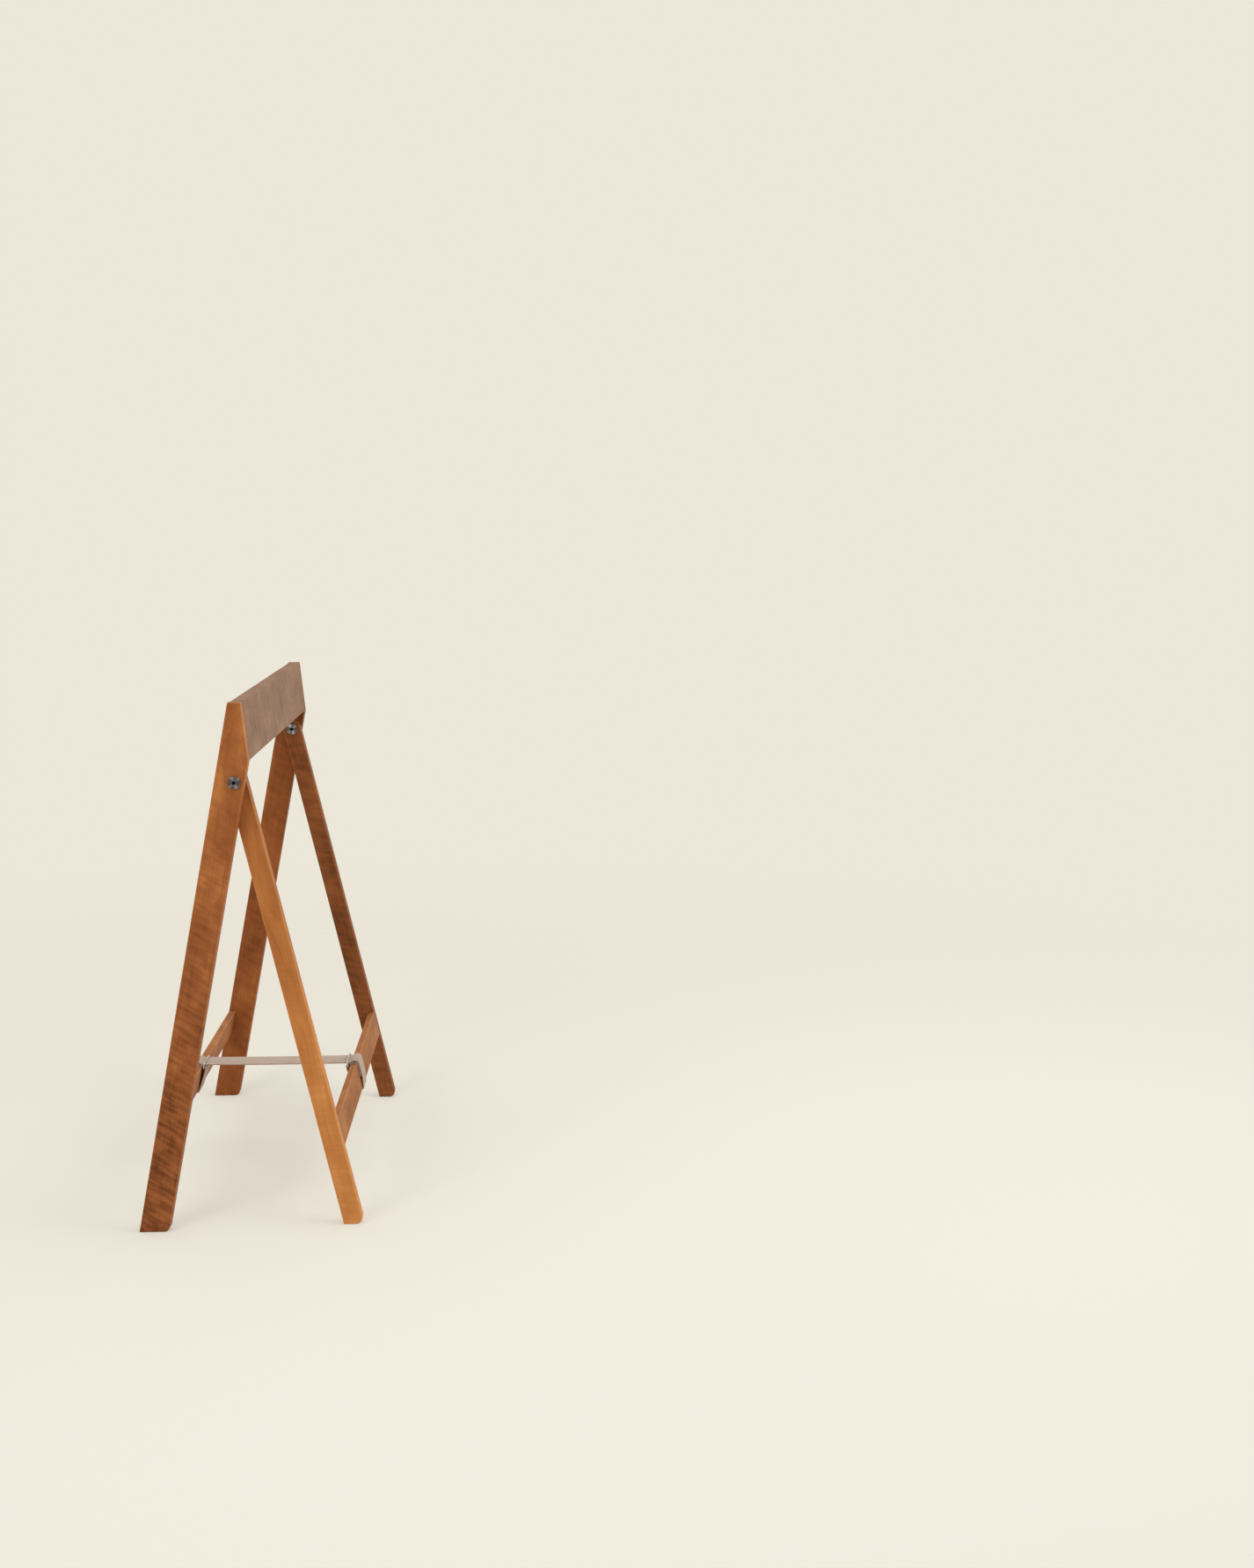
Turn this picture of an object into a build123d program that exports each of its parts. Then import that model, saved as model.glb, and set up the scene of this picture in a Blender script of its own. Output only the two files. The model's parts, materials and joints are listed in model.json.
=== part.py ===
"""Folding trestle: an outer frame with a top beam and an inner frame that folds into it.

Frame: +Z up, X the way the legs open (outer frame towards -X, inner frame towards +X),
Y along the beam. The origin is the middle of the footprint, on the floor. Millimetres.
"""

from math import cos, radians, sin, tan
import os

from build123d import *

# Whole trestle
height = 700
length = 650
pivot_below_top = 102.5
outer_lean = 10.9
inner_lean = 13.1

# Legs: each width is measured square to the leg, on either side of the pivot bolt
leg_thickness = 18
outer_leg_behind = 25.5
outer_leg_ahead = 13
inner_leg_half = 13
foot_radius = 8
arris = 1.2

# Top beam, which leans back against the outer legs' lean
beam_depth = 76
beam_lean = 6
beam_thickness = 16

# Stretchers
stretcher_thickness = 10
stretcher_height = 38
stretcher_arris = 1.5

# Dowels
beam_dowel_radius = 4
beam_dowel_heights = (18, 54)
stretcher_dowel_radius = 3
stretcher_dowel_spacing = 20
dowel_in_leg = 12
dowel_in_rail = 24
dowel_end_gap = 0.5
glue_gap = 0.05

# Pivot bolt and sleeve nut
leg_gap = 1.2
washer_radius = 9
washer_thickness = 1.0
head_radius = 8.5
head_height = 2.5
head_chamfer = 0.6
socket_across_flats = 4
socket_depth = 2
shank_radius = 2.95
thread_engaged = 12
barrel_radius = 4.5
barrel_wall_gap = 0.5
shank_end_gap = 1
shank_fit = 0.05
pivot_fit = 0.05
running_gap = 0.2

# Strap and its rings
strap_height = 142
strap_width = 40
strap_thickness = 2
strap_gap = 0.15
strap_tail = 20
run_ring_gap = 0.7
run_bend = 3
ring_wire_radius = 1.3
ring_wood_gap = 1.1
ring_strap_gap = 0.7
ring_play = 0.4
ring_side_gap = 1
ring_corner = 3

pivot_height = height - pivot_below_top
beam_bottom_height = height - beam_depth
outer_slope = radians(outer_lean)
inner_slope = radians(inner_lean)
beam_slope = radians(beam_lean)

foot_left = outer_leg_behind / cos(outer_slope) + pivot_height * tan(outer_slope)
foot_round = foot_radius * (1 - tan(inner_slope) - 1 / cos(inner_slope))
foot_right = inner_leg_half / cos(inner_slope) + pivot_height * tan(inner_slope) + foot_round
pivot_x = (foot_left - foot_right) / 2

outer_face = length / 2
outer_inside = outer_face - leg_thickness
inner_face = outer_inside - leg_gap
inner_inside = inner_face - leg_thickness


def outer_x(across, z):
    """X at height z on a line along the outer leg, `across` mm to the right of the pivot."""
    return pivot_x + across / cos(outer_slope) + (z - pivot_height) * tan(outer_slope)


def inner_x(across, z):
    """X at height z on a line along the inner leg, `across` mm to the right of the pivot."""
    return pivot_x + across / cos(inner_slope) - (z - pivot_height) * tan(inner_slope)


def along_y(x, y, z, direction):
    """A plane at a point whose normal is +Y (direction 1) or -Y (direction -1)."""
    return Plane(origin=(x, y, z), x_dir=(1, 0, 0), z_dir=(0, direction, 0))


# Strap layers lie one on the other round a stretcher; these are their middles above the wood.
under_layer = strap_gap + strap_thickness / 2
over_layer = under_layer + strap_thickness + strap_gap


def stretcher_frame(slope, side):
    """Sketch plane at a stretcher's upper inside edge: x outward, y up along the leg."""
    edge_z = strap_height - stretcher_arris * sin(slope) - over_layer * cos(slope)
    if side == "outer":
        edge_x = outer_x(stretcher_thickness - outer_leg_behind, edge_z)
        return Plane(
            origin=(edge_x, 0, edge_z), x_dir=(-cos(slope), 0, sin(slope)), z_dir=(0, 1, 0)
        )
    edge_x = inner_x(inner_leg_half - stretcher_thickness, edge_z)
    return Plane(origin=(edge_x, 0, edge_z), x_dir=(cos(slope), 0, sin(slope)), z_dir=(0, -1, 0))


outer_rail_plane = stretcher_frame(outer_slope, "outer")
inner_rail_plane = stretcher_frame(inner_slope, "inner")


def rail_points(plane):
    """Dowel centres on a stretcher's cross-section, as (x, z)."""
    points = []
    for step in (-0.5, 0.5):
        down = step * stretcher_dowel_spacing - stretcher_height / 2
        spot = plane.from_local_coords(Vector(stretcher_thickness / 2, down, 0))
        points.append((spot.X, spot.Z))
    return points


beam_foot_x = outer_x(outer_leg_ahead, beam_bottom_height)
beam_top_x = beam_foot_x - (height - beam_bottom_height) * tan(beam_slope)


def beam_point(depth, up):
    """A point of the beam's section: depth behind its inside face, up along the board."""
    x = beam_foot_x - depth * cos(beam_slope) - up * sin(beam_slope)
    z = beam_bottom_height - depth * sin(beam_slope) + up * cos(beam_slope)
    return x, z


beam_dowel_points = [beam_point(beam_thickness / 2, up) for up in beam_dowel_heights]
outer_rail_points = rail_points(outer_rail_plane)
inner_rail_points = rail_points(inner_rail_plane)


# %% Outer legs: straight, level at the foot and the top, cut back above the beam's lower edge
with BuildPart() as outer_leg_front:
    with BuildSketch(Plane.XZ.offset(outer_face)) as outer_leg_outline:
        with BuildLine():
            Polyline(
                (outer_x(-outer_leg_behind, 0), 0),
                (outer_x(outer_leg_ahead, 0), 0),
                (beam_foot_x, beam_bottom_height),
                (beam_top_x, height),
                (outer_x(-outer_leg_behind, height), height),
                close=True,
            )
        make_face()
        fillet(outer_leg_outline.vertices().group_by(Axis.Y)[0].sort_by(Axis.X)[-1], foot_radius)
    extrude(amount=-leg_thickness)
    fillet(outer_leg_front.faces().filter_by(Axis.Y).edges(), arris)
    with Locations(along_y(pivot_x, -outer_face, pivot_height, -1)):
        Hole(shank_radius + shank_fit, leg_thickness)
    with Locations([along_y(x, -outer_inside, z, 1) for x, z in beam_dowel_points]):
        Hole(beam_dowel_radius + glue_gap, dowel_in_leg + dowel_end_gap)
    with Locations([along_y(x, -outer_inside, z, 1) for x, z in outer_rail_points]):
        Hole(stretcher_dowel_radius + glue_gap, dowel_in_leg + dowel_end_gap)

with BuildPart() as outer_leg_rear:
    mirror(outer_leg_front.part, about=Plane.XZ)

# %% Inner legs: narrower, rounded over the pivot
tangent_left = (
    pivot_x - inner_leg_half * cos(inner_slope),
    pivot_height - inner_leg_half * sin(inner_slope),
)
tangent_right = (
    pivot_x + inner_leg_half * cos(inner_slope),
    pivot_height + inner_leg_half * sin(inner_slope),
)
crown = (
    pivot_x - inner_leg_half * sin(inner_slope),
    pivot_height + inner_leg_half * cos(inner_slope),
)

with BuildPart() as inner_leg_front:
    with BuildSketch(Plane.XZ.offset(inner_face)) as inner_leg_outline:
        with BuildLine():
            Line((inner_x(-inner_leg_half, 0), 0), tangent_left)
            ThreePointArc(tangent_left, crown, tangent_right)
            Polyline(
                tangent_right, (inner_x(inner_leg_half, 0), 0), (inner_x(-inner_leg_half, 0), 0)
            )
        make_face()
        fillet(inner_leg_outline.vertices().group_by(Axis.Y)[0].sort_by(Axis.X)[-1], foot_radius)
    extrude(amount=-leg_thickness)
    fillet(inner_leg_front.faces().filter_by(Axis.Y).edges(), arris)
    with Locations(along_y(pivot_x, -inner_face, pivot_height, -1)):
        Hole(barrel_radius + pivot_fit, leg_thickness)
    with Locations([along_y(x, -inner_inside, z, 1) for x, z in inner_rail_points]):
        Hole(stretcher_dowel_radius + glue_gap, dowel_in_leg + dowel_end_gap)

with BuildPart() as inner_leg_rear:
    mirror(inner_leg_front.part, about=Plane.XZ)

# %% Top beam: a board between the outer legs, planed level along its top edge
with BuildPart() as top_beam:
    with BuildSketch(Plane.XZ):
        with BuildLine():
            Polyline(
                beam_point(0, 0),
                (beam_top_x, height),
                (beam_top_x - beam_thickness / cos(beam_slope), height),
                beam_point(beam_thickness, 0),
                close=True,
            )
        make_face()
    extrude(amount=outer_inside, both=True)
    fillet(top_beam.edges().filter_by(Axis.Y), arris)
    for end in (-1, 1):
        with Locations([along_y(x, end * outer_inside, z, end) for x, z in beam_dowel_points]):
            Hole(beam_dowel_radius + glue_gap, dowel_in_rail + dowel_end_gap)


# %% Stretchers: thin boards near the floor, flush with the outer edge of their legs
def stretcher(plane, inside, dowel_points):
    """A stretcher of one frame: its section on the rail plane, its ends at +-inside."""
    with BuildPart() as board:
        with BuildSketch(plane):
            with Locations((stretcher_thickness / 2, -stretcher_height / 2)):
                Rectangle(stretcher_thickness, stretcher_height)
        extrude(amount=inside, both=True)
        fillet(board.edges().filter_by(Axis.Y), stretcher_arris)
        for end in (-1, 1):
            with Locations([along_y(x, end * inside, z, end) for x, z in dowel_points]):
                Hole(stretcher_dowel_radius + glue_gap, dowel_in_rail + dowel_end_gap)
    return board


outer_stretcher = stretcher(outer_rail_plane, outer_inside, outer_rail_points)
inner_stretcher = stretcher(inner_rail_plane, inner_inside, inner_rail_points)


# %% Dowels: blind, half in the leg and half in the board's end
def dowels(radius, inside, points):
    """The dowels at both ends of one board, lying along Y across the joint."""
    with BuildPart() as pins:
        for end in (-1, 1):
            middle = end * (inside + (dowel_in_leg - dowel_in_rail) / 2)
            with Locations([along_y(x, middle, z, 1) for x, z in points]):
                Cylinder(radius, dowel_in_leg + dowel_in_rail)
    return pins


beam_dowels = dowels(beam_dowel_radius, outer_inside, beam_dowel_points)
outer_stretcher_dowels = dowels(stretcher_dowel_radius, outer_inside, outer_rail_points)
inner_stretcher_dowels = dowels(stretcher_dowel_radius, inner_inside, inner_rail_points)

# %% Pivot: a bolt from outside, a sleeve nut from inside and a washer between the legs
shank_length = leg_thickness + leg_gap + thread_engaged
barrel_length = running_gap + leg_thickness - barrel_wall_gap
nut_bore_depth = thread_engaged + shank_end_gap
nut_face = inner_inside - running_gap
bolt_plane = along_y(pivot_x, -outer_face, pivot_height, -1)
nut_plane = along_y(pivot_x, -nut_face, pivot_height, 1)
socket_radius = socket_across_flats / 2

with BuildPart() as pivot_bolt_front:
    with BuildSketch(bolt_plane):
        Circle(head_radius)
    extrude(amount=head_height)
    chamfer(pivot_bolt_front.edges().group_by(Axis.Y)[0], head_chamfer)
    with BuildSketch(bolt_plane.offset(head_height)):
        RegularPolygon(socket_radius, 6, major_radius=False)
    extrude(amount=-socket_depth, mode=Mode.SUBTRACT)
    with BuildSketch(bolt_plane):
        Circle(shank_radius)
    extrude(amount=-shank_length)

with BuildPart() as pivot_nut_front:
    with BuildSketch(nut_plane):
        Circle(head_radius)
    extrude(amount=head_height)
    chamfer(pivot_nut_front.edges().group_by(Axis.Y)[-1], head_chamfer)
    with BuildSketch(nut_plane.offset(head_height)):
        RegularPolygon(socket_radius, 6, major_radius=False)
    extrude(amount=-socket_depth, mode=Mode.SUBTRACT)
    with BuildSketch(nut_plane):
        Circle(barrel_radius)
    extrude(amount=-barrel_length)
    with BuildSketch(nut_plane.offset(-barrel_length)):
        Circle(shank_radius + shank_fit)
    extrude(amount=nut_bore_depth, mode=Mode.SUBTRACT)

with BuildPart() as pivot_washer_front:
    with BuildSketch(along_y(pivot_x, -outer_inside, pivot_height, 1)):
        Circle(washer_radius)
        Circle(shank_radius + shank_fit, mode=Mode.SUBTRACT)
    extrude(amount=washer_thickness)

with BuildPart() as pivot_bolt_rear:
    mirror(pivot_bolt_front.part, about=Plane.XZ)
with BuildPart() as pivot_nut_rear:
    mirror(pivot_nut_front.part, about=Plane.XZ)
with BuildPart() as pivot_washer_rear:
    mirror(pivot_washer_front.part, about=Plane.XZ)


# %% Strap loops: each end goes through its ring, once round the stretcher and back over it
# The ring stands just inside the stretcher; the strap curls round the ring's lower wire.
ring_inward = ring_wire_radius + ring_wood_gap
curl_radius = ring_wire_radius + ring_strap_gap + strap_thickness / 2
curl_height = under_layer - curl_radius
run_pivot_in = ring_inward + ring_wire_radius + run_ring_gap


def strap_loop(plane, slope):
    """The strap's turns round one stretcher, from the run's end to the tail's end."""
    wall = stretcher_thickness
    bottom = -stretcher_height - under_layer
    curl_side = -ring_inward - curl_radius
    corner = stretcher_arris
    route = (
        (-run_pivot_in, over_layer + (corner + run_pivot_in) * tan(slope)),
        (corner, over_layer),
        (wall + over_layer, over_layer),
        (wall + over_layer, -strap_tail - strap_thickness),
        (wall + under_layer, -stretcher_height + strap_thickness),
        (wall + under_layer, bottom),
        (-under_layer, bottom),
        (curl_side, curl_height - curl_radius),
        (curl_side, under_layer),
        (wall + under_layer, under_layer),
        (wall + under_layer, -strap_tail),
    )
    tight = corner + under_layer
    bends = [6, corner + over_layer, 10, 10, tight, tight, 10, curl_radius, tight]
    with BuildPart() as loop:
        with BuildLine(plane) as path:
            FilletPolyline(*route, radius=bends)
        with BuildSketch(Plane(origin=path.line @ 0, x_dir=(0, 1, 0), z_dir=path.line % 0)):
            Rectangle(strap_width, strap_thickness)
        sweep(path=path.line)
    return loop


strap_loop_outer = strap_loop(outer_rail_plane, outer_slope)
strap_loop_inner = strap_loop(inner_rail_plane, inner_slope)


# %% Rings: bent wire, upright at the stretcher's upper inside edge, round the strap's layers
def strap_ring(plane, slope):
    """A rectangular wire ring in the plane just inside a stretcher's inner face."""
    half_wide = strap_width / 2 + ring_side_gap + ring_wire_radius
    strap_top = over_layer + (stretcher_arris + ring_inward) * tan(slope) + strap_thickness / 2
    low = curl_height
    high = strap_top + ring_play + ring_wire_radius
    ring_plane = Plane(
        origin=plane.from_local_coords(Vector(-ring_inward, 0, 0)),
        x_dir=(0, 1, 0),
        z_dir=Vector(0, 1, 0).cross(plane.y_dir),
    )
    with BuildPart() as ring:
        with BuildLine(ring_plane) as path:
            FilletPolyline(
                (half_wide, low),
                (half_wide, high),
                (-half_wide, high),
                (-half_wide, low),
                radius=ring_corner,
                close=True,
            )
        bend = path.wire()
        with BuildSketch(Plane(origin=bend @ 0, z_dir=bend % 0)):
            Circle(ring_wire_radius)
        sweep(path=bend)
    return ring


strap_ring_outer = strap_ring(outer_rail_plane, outer_slope)
strap_ring_inner = strap_ring(inner_rail_plane, inner_slope)


# %% Strap run: the level stretch between the rings, in two halves that fold at the middle
def run_end(plane, slope):
    """X where the loop ends and the run begins."""
    rise = over_layer + (stretcher_arris + run_pivot_in) * tan(slope)
    return plane.from_local_coords(Vector(-run_pivot_in, rise, 0)).X


def reach(x, slope):
    """How far down its leg, from the pivot, the run's swing axis at x lies."""
    drop = pivot_height - strap_height + run_bend
    return abs(x - pivot_x) * sin(slope) + drop * cos(slope)


# The fold is placed so that both halves hang level with each other when the legs close.
run_left = run_end(outer_rail_plane, outer_slope)
run_right = run_end(inner_rail_plane, inner_slope)
run_spare = reach(run_right, inner_slope) - reach(run_left, outer_slope)
run_middle = (run_left + run_right + run_spare) / 2


def strap_run(start, stop):
    """One half of the run, a flat band from start to stop along X."""
    with BuildPart() as run:
        with BuildSketch(Plane.XY.offset(strap_height - strap_thickness / 2)):
            with Locations(((start + stop) / 2, 0)):
                Rectangle(stop - start - 2 * strap_gap, strap_width)
        extrude(amount=strap_thickness)
    return run


strap_run_outer = strap_run(run_left, run_middle)
strap_run_inner = strap_run(run_middle, run_right)

# %% Write one STEP file for each piece
pieces = {
    "outer_leg_front": outer_leg_front,
    "outer_leg_rear": outer_leg_rear,
    "inner_leg_front": inner_leg_front,
    "inner_leg_rear": inner_leg_rear,
    "top_beam": top_beam,
    "outer_stretcher": outer_stretcher,
    "inner_stretcher": inner_stretcher,
    "beam_dowels": beam_dowels,
    "outer_stretcher_dowels": outer_stretcher_dowels,
    "inner_stretcher_dowels": inner_stretcher_dowels,
    "pivot_bolt_front": pivot_bolt_front,
    "pivot_bolt_rear": pivot_bolt_rear,
    "pivot_nut_front": pivot_nut_front,
    "pivot_nut_rear": pivot_nut_rear,
    "pivot_washer_front": pivot_washer_front,
    "pivot_washer_rear": pivot_washer_rear,
    "strap_loop_outer": strap_loop_outer,
    "strap_loop_inner": strap_loop_inner,
    "strap_run_outer": strap_run_outer,
    "strap_run_inner": strap_run_inner,
    "strap_ring_outer": strap_ring_outer,
    "strap_ring_inner": strap_ring_inner,
}

os.makedirs("parts", exist_ok=True)
for name, piece in pieces.items():
    piece.part.label = name
    export_step(piece.part, f"parts/{name}.step")

print(f"pivot at x {pivot_x:.3f}, z {pivot_height}")
print(f"strap run from x {run_left:.3f} to {run_right:.3f}, fold at x {run_middle:.3f}")
print(f"run swings about z {strap_height - run_bend:.3f}")
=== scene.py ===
# %% [markdown]
# # A folding trestle, from its legs to its stitches
# The trestle is two narrow frames of stained birch that cross like scissors and turn on two bolts.
# A cotton strap between the frames stops the legs. The wooden boards are already exact solids, so
# this lesson leaves their shapes alone and gives them wood that follows each board. The bolts,
# rings and webbing are finely turned, bent or woven, so they are worked out here as surfaces.

# %% The fixed frame
import json

import bpy
import numpy as np
from mathutils import Matrix, Vector


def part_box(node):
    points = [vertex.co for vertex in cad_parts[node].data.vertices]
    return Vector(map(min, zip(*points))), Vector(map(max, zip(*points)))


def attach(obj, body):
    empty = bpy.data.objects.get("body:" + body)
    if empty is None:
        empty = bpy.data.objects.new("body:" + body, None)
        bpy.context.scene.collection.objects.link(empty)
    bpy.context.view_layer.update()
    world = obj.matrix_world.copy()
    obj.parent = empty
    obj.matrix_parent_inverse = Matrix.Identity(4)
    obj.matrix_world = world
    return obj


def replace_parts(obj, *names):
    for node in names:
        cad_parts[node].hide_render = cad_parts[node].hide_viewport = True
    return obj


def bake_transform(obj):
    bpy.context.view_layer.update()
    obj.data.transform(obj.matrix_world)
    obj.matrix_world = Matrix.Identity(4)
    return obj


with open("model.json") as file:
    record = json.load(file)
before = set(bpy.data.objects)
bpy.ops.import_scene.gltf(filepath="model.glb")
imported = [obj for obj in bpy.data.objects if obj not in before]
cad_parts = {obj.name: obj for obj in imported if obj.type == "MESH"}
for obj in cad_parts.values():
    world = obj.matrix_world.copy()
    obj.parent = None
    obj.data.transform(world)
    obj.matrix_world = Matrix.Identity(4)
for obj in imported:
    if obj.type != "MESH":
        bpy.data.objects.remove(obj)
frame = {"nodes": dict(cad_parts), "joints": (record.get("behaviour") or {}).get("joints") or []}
nodes = frame["nodes"]
joints = {joint["name"]: joint for joint in frame["joints"]}
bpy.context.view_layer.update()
MM = 0.001
print("boards and fittings:", len(nodes), "joints:", sorted(joints))

# %% [markdown]
# ## Measuring a board
# Every board leans, so its box along X, Y and Z says little about it. Its own three directions say
# more: along the grain, across the face and through the thickness. The corners of the mesh are laid
# against each direction, and the lowest and highest give the board's middle and its half sizes.

# %% Directions and measures
outer_lean = np.radians(10.9)
inner_lean = np.radians(13.1)
beam_lean = np.radians(6)
level = np.array([0, 1, 0])


def leaning(angle):
    """Unit vectors up and across a board that leans by the angle towards +X: (sine, 0, cosine) and
    (cosine, 0, minus sine)."""
    return np.array([np.sin(angle), 0, np.cos(angle)]), np.array([np.cos(angle), 0, -np.sin(angle)])


def corners(node):
    """All the corners of a board or fitting, as rows of X, Y and Z in metres."""
    mesh = nodes[node].data
    flat = np.empty(3 * len(mesh.vertices))
    mesh.vertices.foreach_get("co", flat)
    return flat.reshape(-1, 3)


def reach(node, direction):
    """The lowest and highest place of a node along a direction."""
    along = corners(node) @ direction
    return along.min(), along.max()


outer_up, outer_across = leaning(outer_lean)
inner_up, inner_across = leaning(-inner_lean)
beam_up, beam_through = leaning(-beam_lean)
print("outer leg is", np.round(np.ptp(reach("outer_leg_front", outer_across)) / MM, 1), "mm across")

# %% [markdown]
# ## Camera
# The trestle stands left of the middle of the view, seen from its end, from a little above the beam
# and from well back, so that its lines stay nearly parallel. The lens is a little longer than
# normal.

# %% Camera
camera_place = (0.4003, -2.9991, 0.9654)
camera_down = 0.1387
camera_right = 0.0370
camera_roll = -0.0026
sensor_mm = 36
lens_mm = 48.07

camera = bpy.data.objects.new("camera", bpy.data.cameras.new("camera"))
camera.data.sensor_width = sensor_mm
camera.data.lens = lens_mm
turn = Matrix.Rotation(-camera_right, 4, "Z") @ Matrix.Rotation(np.pi / 2 - camera_down, 4, "X")
camera.matrix_world = Matrix.Translation(camera_place) @ turn @ Matrix.Rotation(camera_roll, 4, "Z")
bpy.context.scene.collection.objects.link(camera)
bpy.context.scene.camera = camera
print("camera is", round(float(np.hypot(*camera_place[:2])), 2), "m from the trestle's middle")

# %% [markdown]
# ## Shader maths as Python
# A material is a tree of nodes, and long sums of Math nodes are hard to read. So a small class
# wraps a socket, and `1 - mask * 0.5` adds its own Math nodes. It stands for one number, never a
# colour, because a Math node turns a colour grey.


# %% A wire
class Wire:
    """A number on its way through a material: arithmetic on it adds Math nodes."""

    def __init__(self, finish, socket):
        self.finish, self.socket = finish, socket

    def maths(self, operation, first, second=0.0):
        """The result of a Math node, as a new wire."""
        return self.finish.node("Math", {"operation": operation}, {0: first, 1: second})

    def __add__(self, other):
        return self.maths("ADD", self, other)

    def __sub__(self, other):
        return self.maths("SUBTRACT", self, other)

    def __rsub__(self, other):
        return self.maths("SUBTRACT", other, self)

    def __mul__(self, other):
        return self.maths("MULTIPLY", self, other)

    def __truediv__(self, other):
        return self.maths("DIVIDE", self, other)

    def __pow__(self, other):
        return self.maths("POWER", self, other)

    def __mod__(self, other):
        return self.maths("FLOORED_MODULO", self, other)

    def __abs__(self):
        return self.maths("ABSOLUTE", self)

    def floor(self):
        return self.maths("FLOOR", self)

    def sine(self):
        return self.maths("SINE", self)

    def larger(self, other):
        return self.maths("MAXIMUM", self, other)

    def other(self, output):
        """Another output of the node that this number comes from."""
        return Wire(self.finish, self.socket.node.outputs[output])

    def ramp(self, start, stop, low=0.0, high=1.0):
        """Goes smoothly from low to high while the number goes from start to stop."""
        settings = {"interpolation_type": "SMOOTHSTEP"}
        sockets = {0: self, 1: start, 2: stop, 3: low, 4: high}
        return self.finish.node("MapRange", settings, sockets)

    __radd__ = __add__
    __rmul__ = __mul__


# %% [markdown]
# ## One finish for each material
# A finish holds one material and ends in one Principled shader, which is enough for wood, metal and
# cotton alike. One method makes any other node from its type, its settings and its sockets. What is
# the same all over goes straight onto the shader's own sockets.


# %% A finish
class Finish:
    """One material, with a Principled shader at its end."""

    def __init__(self, name, **shader):
        self.material = bpy.data.materials.new(name)
        self.material.use_nodes = True
        self.tree = self.material.node_tree
        self.shader = self.tree.nodes["Principled BSDF"]
        self.end(**shader)

    def place(self, node, sockets):
        """Links each wire to its socket of a node, and sets any other value on the socket."""
        for key, value in sockets.items():
            if isinstance(value, Wire):
                self.tree.links.new(value.socket, node.inputs[key])
            else:
                node.inputs[key].default_value = value

    def node(self, kind, settings=None, sockets=None, output=0):
        """Makes a node: its settings first, then the values or wires of its sockets."""
        made = self.tree.nodes.new("ShaderNode" + kind)
        for key, value in (settings or {}).items():
            setattr(made, key, value)
        self.place(made, sockets or {})
        return Wire(self, made.outputs[output])

    def vector(self, x, y, z):
        return self.node("CombineXYZ", {}, {0: x, 1: y, 2: z})

    def noise(self, vector, detail=2.0, roughness=0.5, distortion=0.0):
        sockets = {"Vector": vector, "Scale": 1.0, "Detail": detail}
        sockets |= {"Roughness": roughness, "Distortion": distortion}
        return self.node("TexNoise", {}, sockets)

    def mix(self, share, first, second):
        """A colour on its way from the first to the second by a share from 0 to 1."""
        return self.node("Mix", {"data_type": "RGBA"}, {0: share, 6: first, 7: second}, output=2)

    def bump(self, height, strength, distance):
        sockets = {"Strength": strength, "Distance": distance, "Height": height}
        return self.node("Bump", {}, sockets)

    def end(self, **sockets):
        """Sets the Principled shader's sockets: base_color stands for its Base Color."""
        for key, value in sockets.items():
            title = key.replace("_", " ").title().replace("Ior", "IOR")
            self.place(self.shader, {title: value})
        return self.material


# %% [markdown]
# ## Colours as they are seen
# A stain or a yarn is easiest to match, but a shader adds up light, and half the light looks
# much brighter than half grey. So colours are written as they are seen, and turned into light.


# %% Paint
def paint(red, green, blue):
    """A colour as it is seen, from 0 to 1, as light: its power of 2.4, or near black a straight
    line."""
    seen = np.array([red, green, blue])
    light = np.where(seen > 0.04045, ((seen + 0.055) / 1.055) ** 2.4, seen / 12.92)
    return (*light, 1.0)


print(f"half grey is {paint(0.5, 0.5, 0.5)[0]:.2f} of the light")

# %% [markdown]
# ## Birch that follows each board
# Birch is a quiet wood: growth lines are faint, but fine pores run along the grain and the curly
# figure ripples across it in soft bands. An image would stretch or repeat, so the wood is worked
# out in the board's own directions, in millimetres: rings round a heart that lies outside the
# board, long thin fibres, short dark pores and slanting ripples.


# %% Board directions inside a material
def board_places(finish, node, along, across, through):
    """Where a point is in its board, in millimetres from the middle: across, through and along."""
    spot = finish.node("TexCoord", {}, {}, output="Object")
    places, halves = [], []
    for direction in (across, through, along):
        low, high = reach(node, direction)
        dot = {"operation": "DOT_PRODUCT"}
        place = finish.node("VectorMath", dot, {0: spot, 1: tuple(direction)}, output="Value")
        places.append((place - (low + high) / 2) * (1 / MM))
        halves.append((high - low) / 2 / MM)
    return places, halves


# %% [markdown]
# ## Patterns in the wood
# The tree grew round a heart, so a board cut from it shows its rings. Fibres and pores are noise
# that is stretched along the grain, fine across it and long down it. The ripples of a curly board
# lie across the grain instead, where the fibres wave in and out, so their noise is stretched the
# other way.

# %% Rings, pores and ripples
heart_aside = 9.0
heart_deep = 55.0
ring_wander = 26.0
rings_per_mm = 0.28
ripple_sway = 14.0


def late_wood(finish, x, y, z, seed):
    """The dark end of each growth ring: the distance to the heart, moved a little by slow noise,
    repeats once a ring, and its fifth power leaves a thin line."""
    drift = finish.noise(finish.vector(x * 0.02 + seed, y * 0.02, z * 0.004), 2.0)
    heart = ((x - heart_aside - seed) ** 2.0 + (y - heart_deep) ** 2.0) ** 0.5
    ring = ((heart + drift * ring_wander) * rings_per_mm) % 1.0
    return ring ** 5.0


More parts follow.
